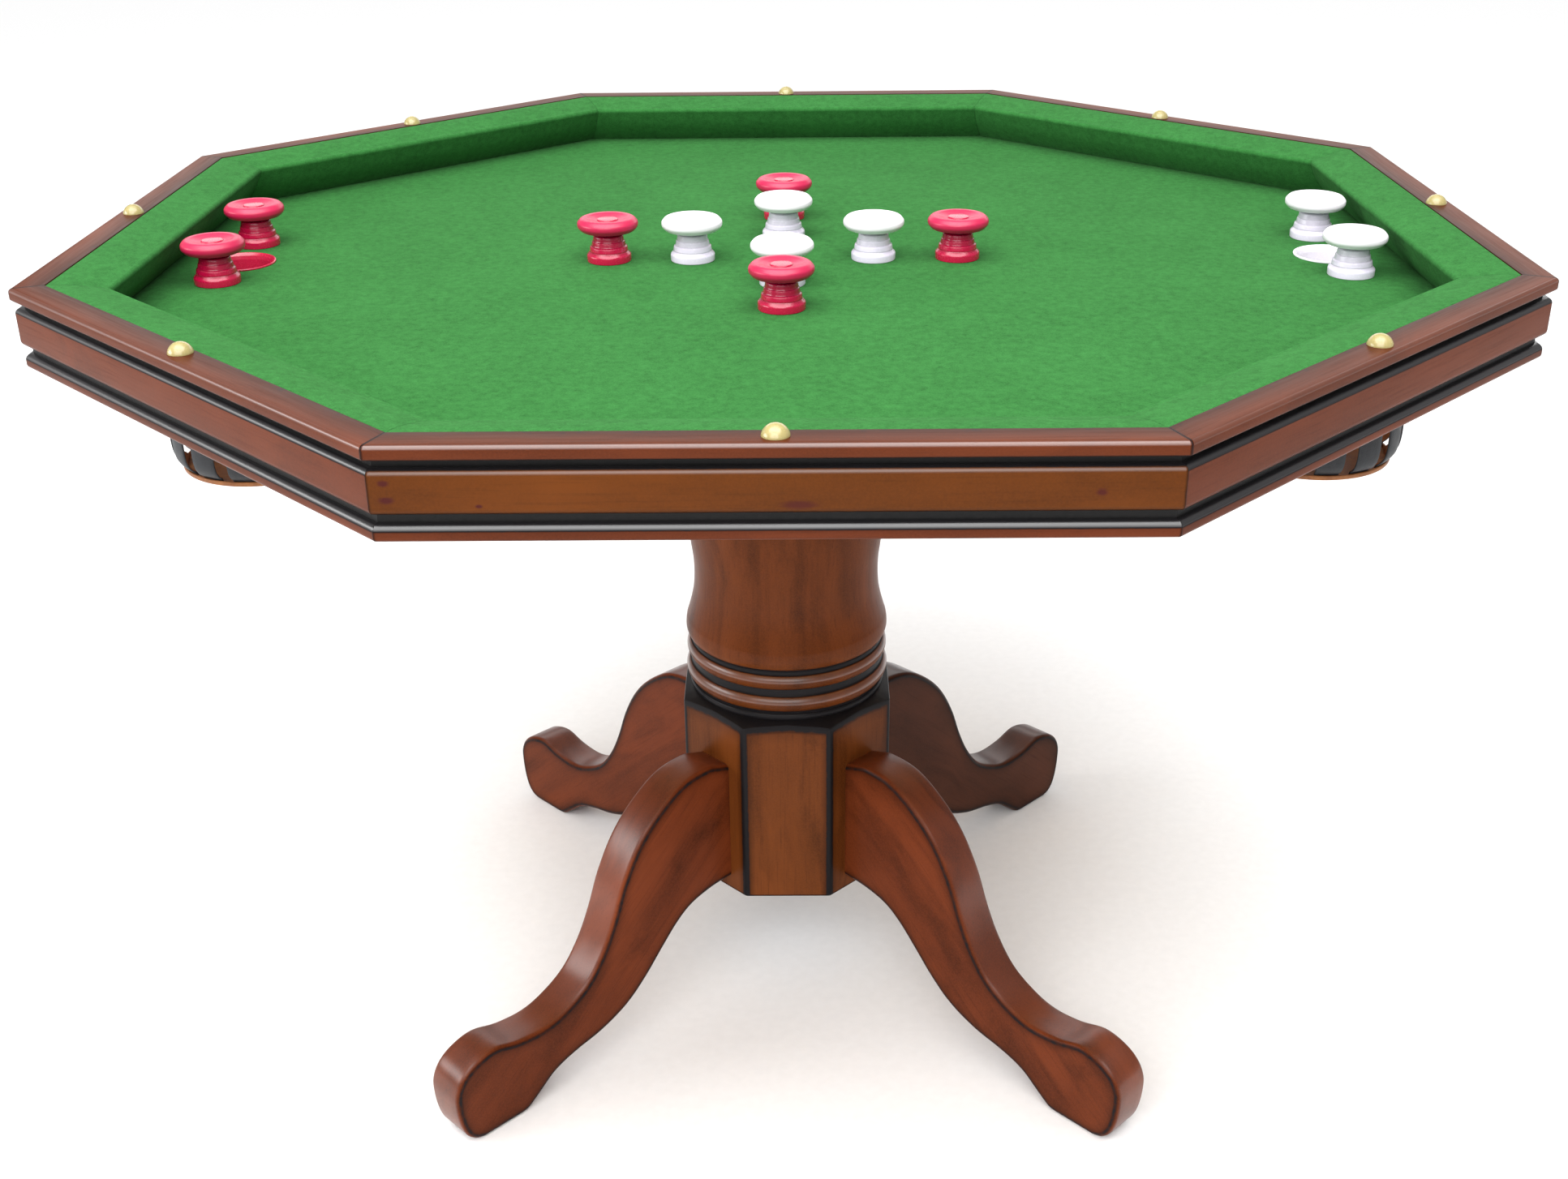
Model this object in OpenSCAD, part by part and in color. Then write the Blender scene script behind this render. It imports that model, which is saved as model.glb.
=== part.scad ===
// Bumper pool table: octagonal bed and rail on a turned pedestal with four S-shaped legs.
// The origin is on the floor under the middle of the table, +Z is up and the front side faces -Y.

/* [Table] */
// Floor to the flat top of the rail
table_h = 795; // [780:5:810]
// Middle of the table to the outer face of the rail cap
rail_out = 600; // [590:1:620]
// Visible width of the wooden rail cap
cap_w = 25; // [22:1:30]
// Rail top to the top of the bed cloth
bed_drop = 46.5; // [44:0.5:50]

/* [Cushions] */
// Rail cap's inner edge to the cushion nose
cushion_w = 44; // [38:1:50]
// Rail top to the cushion nose
nose_drop = 10.5; // [9:0.5:13]

/* [Bumpers] */
// Middle of the table to the inner bumpers of the cross
cross_inner = 82; // [78:1:90]
// Middle of the table to the outer bumpers of the cross
cross_outer = 158; // [150:1:170]
// Distance of each pocket's bumper pair from the middle
pair_x = 496; // [485:1:498]
// Half the distance between the two bumpers of a pair
pair_y = 66; // [62:1:75]
// Radius of the bumper's top ring
ring_r = 27.5; // [25:0.5:30]
// Height of a bumper above the cloth
bumper_h = 39.5; // [38:0.5:42]

/* [Pockets] */
// Distance of each pocket from the middle
cup_x = 495; // [485:1:498]
// Radius of the ball's way through the cup
cup_r = 28; // [27.5:0.25:28.5]
// Widest radius of the ball basket
basket_r = 85; // [80:0.5:90]
// Floor to the underside of the basket
basket_z = 559; // [550:1:600]
// Number of straps round a basket
strap_count = 14; // [10:1:14]

/* [Pedestal] */
// Middle to the flat faces of the hub
hub_a = 102; // [98:1:108]
// Floor to the underside of the hub
hub_z0 = 122; // [115:1:128]
// Floor to the top of the hub
hub_z1 = 322; // [316:1:328]
// Widest radius of the column's body
column_r = 99.5; // [92:0.5:99.5]
// Thickness of a leg board
leg_t = 42; // [36:1:50]

/* [Hidden] */
$fn = 64;
SIDES = ["front", "front_right", "right", "back_right", "back", "back_left", "left", "front_left"];
LEGS = ["front_right", "back_right", "back_left", "front_left"];

// Mitred pieces stop this far short of the mitre plane
seam = 0.08;
rail_in = rail_out - cap_w;
cap_t = 10;
reveal_t = 6;
groove_d = 9;
apron_out = rail_out - 2;
bead_out = rail_out - 3;
core_in = rail_in - 13;
core_out = rail_in + 3;
apron_top = table_h - cap_t - reveal_t;
cloth_top = table_h - bed_drop;
cloth_t = 1;
bed_t = 17;
bed_top = cloth_top - cloth_t;
bed_z0 = bed_top - bed_t;
bead_top = cloth_top - reveal_t - 0.5;
nose = rail_in - cushion_w;
nose_z = table_h - nose_drop;

post_base_r = 20;
neck_r = 9.5;
ring_z = 27.3;
stud_r = 3;
stud_up = 18;

cup_flange_r = 32;
cup_tube_r = cup_r + 1.8;
collar_t = 12;
collar_out = basket_r - 4.5;
collar_in = 62;
strap_t = 2.2;
strap_turn = 17.5;
dish_r = basket_r - 8;
dish_h = 4.6;
dish_t = 2.4;
dish_floor = 1.6;

batten_w = 90;
batten_t = 28;
batten_half = 500;
batten_z0 = bed_z0 - batten_t;
plate_a = 180;
plate_t = 25;
plate_z0 = batten_z0 - plate_t;
cavity_a = 58;
cavity_top = hub_z1 - 28;
spigot_r = 40;
bolt_z = [175, 235];
bolt_into_leg = 40;

// Points of an arc about c
function arc(c, r, a0, a1, n = 5) =
    [for (i = [0:n]) let (a = a0 + (a1 - a0) * i / n) c + r * [cos(a), sin(a)]];

// A smooth curve through the points p, with n short spans from each point to the next
function curve_at(p, i, t) =
    let (a = p[max(i - 1, 0)], b = p[i], c = p[i + 1], d = p[min(i + 2, len(p) - 1)])
    0.5 * (2 * b + (c - a) * t + (2 * a - 5 * b + 4 * c - d) * t * t
        + (3 * b - a - 3 * c + d) * t * t * t);
function curve(p, n = 4) =
    concat(
        [for (i = [0:len(p) - 2]) for (j = [0:n - 1]) curve_at(p, i, j / n)],
        [p[len(p) - 1]]);

function side_angle(k) = 45 * k - 90;
function leg_angle(k) = 90 * k - 45;

// One mitred bar of the octagon: the section has the distance from the middle as x and height as y
module bar(section) {
    long = rail_out * tan(22.5) * 2.2;
    wedge_x = seam / sin(22.5);
    reach = rail_out * 1.1;
    intersection() {
        rotate([90, 0, 0]) linear_extrude(long, center = true) polygon(section);
        translate([wedge_x, 0, 0]) linear_extrude(table_h * 1.1)
            polygon([[0, 0], [reach, -reach * tan(22.5)], [reach, reach * tan(22.5)]]);
    }
}
module side(k) rotate([0, 0, side_angle(k)]) children();
module all_sides() for (k = [0:7]) side(k) children();
module octagon(apothem, h) rotate([0, 0, 22.5]) cylinder(h, r = apothem / cos(22.5), $fn = 8);

// Rail
module rail_cap(k) {
    z1 = table_h;
    z0 = table_h - cap_t;
    section = concat([[rail_in, z0], [rail_in, z1]],
        arc([rail_out - 6, z1 - 6], 6, 90, 0),
        arc([rail_out - 2, z0 + 2], 2, 0, -90, 3));
    color("sienna") difference() {
        side(k) bar(section);
        side(k) translate([rail_in + 10, 0, z1 - 7]) cylinder(8, r = 2.5);
    }
}
module sight_dots() {
    dome_r = 9.2;
    dome_h = 8;
    ball_r = (dome_r * dome_r + dome_h * dome_h) / (2 * dome_h);
    color("wheat") all_sides() translate([rail_in + 10, 0, table_h]) {
        rotate_extrude() polygon(concat([[0, -6.5], [2.45, -6.5], [2.45, 0]],
            arc([0, dome_h - ball_r], ball_r, 90 - asin(dome_r / ball_r), 90, 8)));
    }
}
module cushion(k) {
    top = table_h - 0.6;
    back = rail_in - 0.1;
    section = concat(
        curve([[back, top], [rail_in - 12, top - 0.6], [rail_in - 27, top - 3.6],
            [nose + 6, nose_z + 3.2]]),
        arc([nose + 3.2, nose_z], 3.2, 75, 205),
        curve([[nose + 6, nose_z - 12], [nose + 15, nose_z - 24], [nose + 26, cloth_top]], 3),
        [[core_in, cloth_top], [core_in, table_h - cap_t], [back, table_h - cap_t]]);
    color("forestgreen") side(k) bar(section);
}
module rail_cores() {
    section = [[core_in, cloth_top], [core_out, cloth_top],
        [core_out, table_h - cap_t], [core_in, table_h - cap_t]];
    color("burlywood") difference() {
        all_sides() bar(section);
        rail_bolt_places() translate([0, 0, -1]) cylinder(bed_t + 24, r = 3);
    }
}
module apron_board(k) {
    section = concat([[core_out, cloth_top], [core_out, apron_top]],
        arc([apron_out - 4, apron_top - 4], 4, 90, 0, 4),
        arc([apron_out - 4.5, cloth_top + 4.5], 4.5, 0, -90, 4));
    color("saddlebrown") side(k) bar(section);
}
module reveal(inner, z0, z1) {
    outer = rail_out - groove_d;
    color([0.09, 0.08, 0.08]) all_sides()
        bar([[inner, z0], [outer, z0], [outer, z1], [inner, z1]]);
}
module upper_reveal() reveal(core_out, apron_top, table_h - cap_t);
module lower_reveal() reveal(rail_in, bead_top, cloth_top);
module lower_bead() {
    section = concat([[rail_in, bed_z0], [rail_in, bead_top]],
        arc([bead_out - 5, bead_top - 5], 5, 90, 0, 5),
        arc([bead_out - 3, bed_z0 + 3], 3, 0, -90, 3));
    color("saddlebrown") all_sides() bar(section);
}
module rail_bolt_places() {
    all_sides() for (y = [-150, 150]) translate([(core_in + rail_in) / 2, y, bed_z0]) children();
}
module rail_bolts() color("silver") rail_bolt_places() {
    cylinder(bed_t + 20, r = 2.9);
    translate([0, 0, -4]) cylinder(4, r = 6, $fn = 6);
}

// Bed
function bumper_cross(r) = [[r, 0], [-r, 0], [0, r], [0, -r]];
bumpers_white = concat(bumper_cross(cross_inner), [[pair_x, pair_y], [pair_x, -pair_y]]);
bumpers_red = concat(bumper_cross(cross_outer), [[-pair_x, pair_y], [-pair_x, -pair_y]]);
module at_each(places, z) for (p = places) translate([p[0], p[1], z]) children();
module bed_holes() {
    at_each(concat(bumpers_red, bumpers_white), bed_z0 - 1) cylinder(bed_t + 4, r = 3.2);
    at_each([[cup_x, 0], [-cup_x, 0]], bed_z0 - 1) cylinder(bed_t + 4, r = cup_tube_r + 0.2);
    rail_bolt_places() translate([0, 0, -1]) cylinder(bed_t + 4, r = 3.2);
}
module bed_board() color("tan") difference() {
    translate([0, 0, bed_z0]) octagon(rail_in, bed_t);
    bed_holes();
}
module bed_cloth() color("limegreen") difference() {
    translate([0, 0, bed_top]) octagon(rail_in, cloth_t);
    bed_holes();
}

// Bumpers
module post() difference() {
    rotate_extrude() polygon(concat([[0, 0]],
        arc([post_base_r - 1, 1], 1, -90, 0, 2), [[post_base_r, 5]],
        arc([post_base_r - 2.2, 6.8], 2.2, 0, 90, 3),
        [[16.8, 9.6], [16.4, 13], [15.2, 14.6], [14, 20], [13.4, 22.5]],
        arc([11.9, 22.8], 1.5, 0, 90, 3),
        [[neck_r, 24.6], [neck_r, 37.2], [neck_r - 1, 38.2], [0, 38.2]]));
    translate([0, 0, -1]) cylinder(stud_up + 1.5, r = 3.05);
}
module ring() {
    half = (bumper_h - ring_z) / 2;
    hole = neck_r + 0.05;
    rotate_extrude() polygon(concat([[hole, ring_z + 1.5], [hole + 3, ring_z]],
        arc([ring_r - half, ring_z + half], half, -90, 90, 12),
        [[ring_r - half - 4, bumper_h - 0.8], [hole + 2, bumper_h - 2.4], [hole, bumper_h - 2.4]]));
}
module bumper_posts_red() color("crimson") at_each(bumpers_red, cloth_top) post();
module bumper_posts_white() color("whitesmoke") at_each(bumpers_white, cloth_top) post();
module bumper_rings_red() color("crimson") at_each(bumpers_red, cloth_top) ring();
module bumper_rings_white() color("whitesmoke") at_each(bumpers_white, cloth_top) ring();
module bumper_studs() color("silver") at_each(concat(bumpers_red, bumpers_white), bed_z0 - 9)
    cylinder(9 + bed_t + cloth_t + stud_up, r = stud_r);
module bumper_nuts() color("gray") at_each(concat(bumpers_red, bumpers_white), bed_z0 - 6.5)
    difference() {
        union() {
            cylinder(5.3, r = 6.3, $fn = 6);
            translate([0, 0, 5.3]) cylinder(1.2, r = 9);
        }
        translate([0, 0, -1]) cylinder(9, r = stud_r + 0.05);
    }

// Pockets and ball baskets
module cup() rotate_extrude() polygon(concat(
    [[cup_tube_r, -42], [cup_tube_r, 0], [cup_flange_r - 1, 0]],
    arc([cup_flange_r - 0.9, 0.9], 0.9, -90, 90, 4),
    [[cup_flange_r - 2, 1.7], [cup_r + 0.8, -0.6], [cup_r, -3], [cup_r, -42]]));
module cup_left() color("crimson") translate([-cup_x, 0, cloth_top]) cup();
module cup_right() color("whitesmoke") translate([cup_x, 0, cloth_top]) cup();

function screw_ring(r, n) = [for (i = [0:n - 1]) r * [cos(i * 360 / n + 45), sin(i * 360 / n + 45)]];
collar_screw_r = (collar_in + collar_out) / 2;
collar_screw_places =
    [for (s = [-1, 1]) for (p = screw_ring(collar_screw_r, 4)) p + [s * cup_x, 0]];
module collar(x) translate([x, 0, bed_z0 - collar_t]) difference() {
    cylinder(collar_t, r = collar_out);
    translate([0, 0, -1]) cylinder(collar_t + 2, r = collar_in);
    at_each(screw_ring(collar_screw_r, 4), -1) cylinder(collar_t + 2, r = 2.2);
}
module basket_collar_left() color("black") collar(-cup_x);
module basket_collar_right() color("black") collar(cup_x);
module pan_screw(r, l, head_r, head_h) {
    cylinder(l, r = r);
    translate([0, 0, -head_h]) cylinder(head_h, r = head_r);
}
module collar_screws() color("silver")
    at_each(collar_screw_places, bed_z0 - collar_t) pan_screw(2.1, collar_t - 0.05, 4, 2);

// The strap's line has the distance from the basket's middle as x and height as y
strap_end = dish_r - dish_t - strap_t / 2 - 0.1;
strap_line = curve([[collar_out + 1.15, bed_z0 - 0.5], [collar_out + 1.15, bed_z0 - collar_t],
    [basket_r - 1.4, bed_z0 - 34], [basket_r - 1.1, basket_z + 90], [basket_r - 1.1, basket_z + 42],
    [basket_r - 1.4, basket_z + 25], [basket_r - 3, basket_z + 15.5], [basket_r - 6.4, basket_z + 9.6],
    [strap_end + 1.8, basket_z + 7], [strap_end, basket_z + 4.4], [strap_end, basket_z + 2.8]], 2);
function normal_at(p, i) =
    let (d = p[min(i + 1, len(p) - 1)] - p[max(i - 1, 0)]) [-d[1], d[0]] / norm(d);
function offset_line(p, w) = [for (i = [0:len(p) - 1]) p[i] + w * normal_at(p, i)];
function backwards(p) = [for (i = [len(p) - 1:-1:0]) p[i]];
strap_section = concat(offset_line(strap_line, strap_t / 2),
    backwards(offset_line(strap_line, -strap_t / 2)));
module straps(x) translate([x, 0, 0]) for (i = [0:strap_count - 1])
    rotate([0, 0, (i + 0.5) * 360 / strap_count - strap_turn / 2])
        rotate_extrude(angle = strap_turn) polygon(strap_section);
module basket_straps_left() color("darkslategray") straps(-cup_x);
module basket_straps_right() color("darkslategray") straps(cup_x);
module dish() rotate_extrude() polygon(concat([[0, 0]],
    arc([dish_r - 1.5, 1.5], 1.5, -90, 0, 3), [[dish_r, dish_h], [dish_r - dish_t, dish_h]],
    arc([dish_r - dish_t - 1, dish_floor + 1], 1, 0, -90, 3), [[0, dish_floor]]));
module basket_dish_left() color("peru") translate([-cup_x, 0, basket_z]) dish();
module basket_dish_right() color("peru") translate([cup_x, 0, basket_z]) dish();

// Underframe: two diagonal battens, half-lapped at the middle, and the plate on the column
module batten_body(a) rotate([0, 0, a]) translate([-batten_half, -batten_w / 2, batten_z0])
    cube([2 * batten_half, batten_w, batten_t]);
lap = batten_w + 0.2;
module lap_cut(a, z) rotate([0, 0, a]) translate([-lap / 2, -lap, z]) cube([lap, 2 * lap, batten_t]);
batten_screw_places = [for (a = [45, 135, 225, 315]) for (r = [260, 460]) r * [cos(a), sin(a)]];
plate_screw_places = [for (a = [45, 135, 225, 315]) for (r = [118, 158]) r * [cos(a), sin(a)]];
module batten_drill() {
    at_each(batten_screw_places, batten_z0 - 1) cylinder(batten_t + 2, r = 2.7);
    at_each(plate_screw_places, batten_z0 - 1) cylinder(19, r = 2.6);
}
module batten_lower() color("burlywood") difference() {
    batten_body(45);
    lap_cut(45, batten_z0 + batten_t / 2);
    batten_drill();
}
module batten_upper() color("burlywood") difference() {
    batten_body(135);
    lap_cut(135, batten_z0 - batten_t / 2);
    batten_drill();
}
module batten_screws() color("silver")
    at_each(batten_screw_places, batten_z0) pan_screw(2.5, batten_t - 0.05, 5, 2.6);
module top_plate() color("saddlebrown") difference() {
    translate([0, 0, plate_z0]) octagon(plate_a, plate_t);
    translate([0, 0, plate_z0 - 1]) cylinder(plate_t + 2, r = spigot_r + 0.1);
    at_each(plate_screw_places, plate_z0 - 1) cylinder(plate_t + 2, r = 2.7);
}
module plate_screws() color("silver")
    at_each(plate_screw_places, plate_z0) pan_screw(2.5, plate_t + 17, 5.5, 3);

// Pedestal
module column() {
    base = hub_z1 + 0.5;
    body = hub_z1 + 54;
    neck = column_r - 9.5;
    head = plate_z0 - 52;
    foot = [[0, cavity_top + 1], [spigot_r, cavity_top + 1], [spigot_r, hub_z1],
        [column_r - 3.3, hub_z1], [column_r - 2.7, base + 2], [column_r - 2.7, base + 4],
        [column_r - 3.5, base + 6.5]];
    rings = concat(
        arc([column_r - 9.1, hub_z1 + 17.5], 9.8, -53, 56, 10),
        [[column_r - 4.2, hub_z1 + 27], [column_r - 4.2, hub_z1 + 30.5]],
        arc([column_r - 9.5, hub_z1 + 40.2], 9.2, -53, 56, 10),
        [[column_r - 4.9, body - 5.5], [column_r - 4.9, body - 2], [column_r - 3.8, body - 0.5]]);
    shaft = curve([[column_r - 3.3, body], [column_r - 1.2, body + 2.2], [column_r, body + 8],
        [column_r - 0.8, body + 16], [column_r - 2.6, body + 22], [column_r - 5.6, body + 33],
        [column_r - 8.1, body + 45], [column_r - 9.2, body + 56], [neck, body + 68],
        [neck + 0.5, body + 80], [neck + 2, body + 92], [neck + 5.5, body + 116],
        [neck + 11, body + 145], [neck + 15.5, body + 175], [neck + 17, body + 203],
        [neck + 11, head - 8], [neck + 6, head]], 3);
    top = concat(
        arc([neck + 12, head + 14], 8, -90, 90, 8),
        [[neck + 6, head + 24], [neck + 6, head + 30], [neck + 14, head + 34], [neck + 14, plate_z0]],
        [[spigot_r, plate_z0], [spigot_r, plate_z0 + plate_t - 1], [0, plate_z0 + plate_t - 1]]);
    color("sienna") rotate_extrude() polygon(concat(foot, rings, shaft, top));
}
module hub() {
    corner = hub_a / cos(22.5);
    eased = (corner - 0.9) / cos(22.5);
    top_r = column_r - 3;
    color("saddlebrown") difference() {
        intersection() {
            translate([0, 0, hub_z0]) octagon(hub_a, hub_z1 - hub_z0);
            translate([0, 0, hub_z0]) cylinder(hub_z1 - hub_z0, r = eased, $fn = 8);
            rotate_extrude() polygon([[0, hub_z0 - 1], [corner + 1, hub_z0 - 1],
                [corner + 1, hub_z1 - 0.476 * (corner + 1 - top_r)], [top_r, hub_z1], [0, hub_z1]]);
        }
        translate([0, 0, hub_z0 - 1]) octagon(cavity_a, cavity_top - hub_z0 + 1);
        translate([0, 0, cavity_top - 1]) cylinder(60, r = spigot_r + 0.1);
        bolt_holes(4.4);
    }
}
module bolt_places() for (k = [0:3]) for (z = bolt_z)
    rotate([0, 0, leg_angle(k)]) translate([cavity_a, 0, z]) rotate([0, 90, 0]) children();
module bolt_holes(r) bolt_places()
    translate([0, 0, -8]) cylinder(hub_a - cavity_a + bolt_into_leg + 9, r = r);
module leg_bolts() color("silver") bolt_places()
    translate([0, 0, -12]) cylinder(hub_a - cavity_a + bolt_into_leg + 12, r = 3.9);
module leg_nuts() color("gray") bolt_places() difference() {
    union() {
        translate([0, 0, -8.5]) cylinder(7, r = 7.5, $fn = 6);
        translate([0, 0, -1.5]) cylinder(1.5, r = 11);
    }
    translate([0, 0, -20]) cylinder(30, r = 3.95);
}

// The leg's outline has the distance from the middle as x and height as y
leg_upper = [[hub_a, 267], [130, 274], [162.5, 269.5], [195, 250], [220.5, 225], [240.5, 192],
    [255, 157], [270, 128.5], [290, 104], [315.5, 89], [341, 82], [371, 84], [398, 91], [420, 87],
    [436, 77], [444.5, 62], [445, 44], [442, 25], [436.5, 11], [428.5, 3], [419, 0]];
leg_lower = [[376, 0], [368, 1.4], [360, 6.5], [350, 14], [333, 26], [309, 34], [275, 41],
    [243, 54], [218, 73], [195, 96], [174, 116], [155, 128], [132, 134], [hub_a, 136]];
module leg(k) color("sienna") difference() {
    rotate([0, 0, leg_angle(k)]) rotate([90, 0, 0])
        linear_extrude(leg_t, center = true) polygon(concat(curve(leg_upper), curve(leg_lower)));
    bolt_holes(4);
}

for (k = [0:7]) rail_cap(k);
for (k = [0:7]) cushion(k);
for (k = [0:7]) apron_board(k);
rail_cores();
upper_reveal();
lower_reveal();
lower_bead();
sight_dots();
rail_bolts();
bed_board();
bed_cloth();
bumper_posts_red();
bumper_posts_white();
bumper_rings_red();
bumper_rings_white();
bumper_studs();
bumper_nuts();
cup_left();
cup_right();
basket_collar_left();
basket_collar_right();
basket_straps_left();
basket_straps_right();
basket_dish_left();
basket_dish_right();
collar_screws();
batten_lower();
batten_upper();
batten_screws();
top_plate();
plate_screws();
column();
hub();
for (k = [0:3]) leg(k);
leg_bolts();
leg_nuts();
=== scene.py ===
import math

import bpy
from mathutils import Matrix, Vector


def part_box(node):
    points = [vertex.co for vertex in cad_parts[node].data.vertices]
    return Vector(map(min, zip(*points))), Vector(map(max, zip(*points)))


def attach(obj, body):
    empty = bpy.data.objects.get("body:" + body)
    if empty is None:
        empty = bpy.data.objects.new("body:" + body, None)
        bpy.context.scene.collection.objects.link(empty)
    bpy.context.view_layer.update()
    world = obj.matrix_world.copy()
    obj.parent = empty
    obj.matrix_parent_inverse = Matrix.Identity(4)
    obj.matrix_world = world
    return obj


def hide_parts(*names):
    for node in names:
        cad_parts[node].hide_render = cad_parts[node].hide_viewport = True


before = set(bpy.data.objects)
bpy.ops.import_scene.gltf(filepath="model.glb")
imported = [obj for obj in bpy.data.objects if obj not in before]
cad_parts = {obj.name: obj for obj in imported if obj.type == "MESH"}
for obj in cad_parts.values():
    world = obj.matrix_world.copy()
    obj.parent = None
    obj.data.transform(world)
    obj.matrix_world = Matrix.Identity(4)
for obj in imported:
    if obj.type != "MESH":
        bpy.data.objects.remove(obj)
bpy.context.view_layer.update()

MM = 0.001
SIDES = ["front", "front_right", "right", "back_right", "back", "back_left", "left", "front_left"]
LEGS = {"front_right": -45, "back_right": 45, "back_left": 135, "front_left": 225}
TAN = math.tan(math.radians(22.5))


# ---------------------------------------------------------------- places taken from the CAD
def low(node):
    """The lowest corner of a node's box, in metres."""
    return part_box(node)[0]


def high(node):
    """The highest corner of a node's box, in metres."""
    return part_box(node)[1]


def middle(node):
    """The middle of a node's box, in metres."""
    return (low(node) + high(node)) / 2


RAIL_OUT = high("rail_cap_right").x
RAIL_IN = low("rail_cap_right").x
RAIL_TOP = high("rail_cap_front").z
CAP_Z0 = low("rail_cap_front").z
APRON_OUT = high("apron_board_right").x
APRON_IN = low("apron_board_right").x
APRON_TOP = high("apron_board_front").z
CLOTH_TOP = high("bed_cloth").z
CUSHION_IN = low("cushion_right").x
CORE_IN = RAIL_IN - 13 * MM
BEAD_OUT = high("lower_bead").x
BEAD_TOP = high("lower_bead").z
BED_Z0 = low("bed_board").z
CUP_X = middle("cup_right").x
CUP_Z0 = low("cup_right").z
DISH_R = (high("basket_dish_right").x - low("basket_dish_right").x) / 2
DISH_Z0 = low("basket_dish_right").z
STRAP_R = (high("basket_straps_right").y - low("basket_straps_right").y) / 2
PLATE_Z0 = low("top_plate").z
HUB_Z0 = low("hub").z
HUB_Z1 = high("hub").z
HUB_A = high("hub").x
LEG_T = 42 * MM
POST_R = 20 * MM
PAIR_Y = 66 * MM
CLOTH_HOLE_R = 30.1 * MM
CLOTH_GAP = 0.2 * MM
STRAP_COUNT = 14
STRAP_TURN = 17.4
DOT_REACH = RAIL_IN + 10 * MM
NOSE_Z = RAIL_TOP - 10.5 * MM
HUB_BRIM = 96.4 * MM
HUB_CAVITY = 58 * MM
HUB_CEILING = HUB_Z1 - 28 * MM


# ---------------------------------------------------------------- shader helpers
class Shader:
    """One procedural material. Calls to node() return an output socket."""

    def __init__(self, name, **sockets):
        self.material = bpy.data.materials.new(name)
        self.material.use_nodes = True
        self.tree = self.material.node_tree
        self.bsdf = self.tree.nodes["Principled BSDF"]
        for key, value in sockets.items():
            self.bsdf.inputs[key.replace("_", " ")].default_value = value

    def node(self, kind, inputs=None, out=0, **props):
        made = self.tree.nodes.new("ShaderNode" + kind)
        for key, value in props.items():
            setattr(made, key, value)
        for key, value in (inputs or {}).items():
            self.put(made.inputs[key], value)
        return made.outputs[out]

    def put(self, socket, value):
        if isinstance(value, bpy.types.NodeSocket):
            self.tree.links.new(value, socket)
        else:
            socket.default_value = value

    def set(self, key, value):
        self.put(self.bsdf.inputs[key], value)

    def place(self, scale=(1, 1, 1), turn=(0, 0, 0), shift=(0, 0, 0)):
        """Object coordinates, turned and stretched."""
        at = self.node("TexCoord", out="Object")
        turned = self.node("Mapping", {"Vector": at, "Rotation": [math.radians(a) for a in turn]})
        return self.node("Mapping", {"Vector": turned, "Scale": scale, "Location": shift})

    def noise(self, where, scale, detail=4.0, rough=0.55, distort=0.0):
        return self.node("TexNoise", {"Vector": where, "Scale": scale, "Detail": detail,
                                      "Roughness": rough, "Distortion": distort}, out="Fac")

    def ramp(self, fac, stops):
        made = self.tree.nodes.new("ShaderNodeValToRGB")
        self.put(made.inputs[0], fac)
        marks = made.color_ramp.elements
        while len(marks) < len(stops):
            marks.new(0.5)
        for mark, (pos, colour) in zip(marks, stops):
            mark.position = pos
            mark.color = (*colour, 1) if len(colour) == 3 else colour
        return made.outputs[0]

    def range(self, fac, low, high, to_low=0.0, to_high=1.0):
        return self.node("MapRange", {0: fac, 1: low, 2: high, 3: to_low, 4: to_high})

    def math(self, what, a, b=0.0):
        return self.node("Math", {0: a, 1: b}, operation=what)

    def mix(self, fac, a, b, blend="MIX"):
        made = self.tree.nodes.new("ShaderNodeMix")
        made.data_type = "RGBA"
        made.blend_type = blend
        for key, value in ((0, fac), (6, a), (7, b)):
            if isinstance(value, tuple) and len(value) == 3:
                value = (*value, 1)
            self.put(made.inputs[key], value)
        return made.outputs[2]

    def bump(self, height, strength, distance):
        self.set("Normal", self.node("Bump", {"Height": height, "Strength": strength,
                                              "Distance": distance}))


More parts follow.
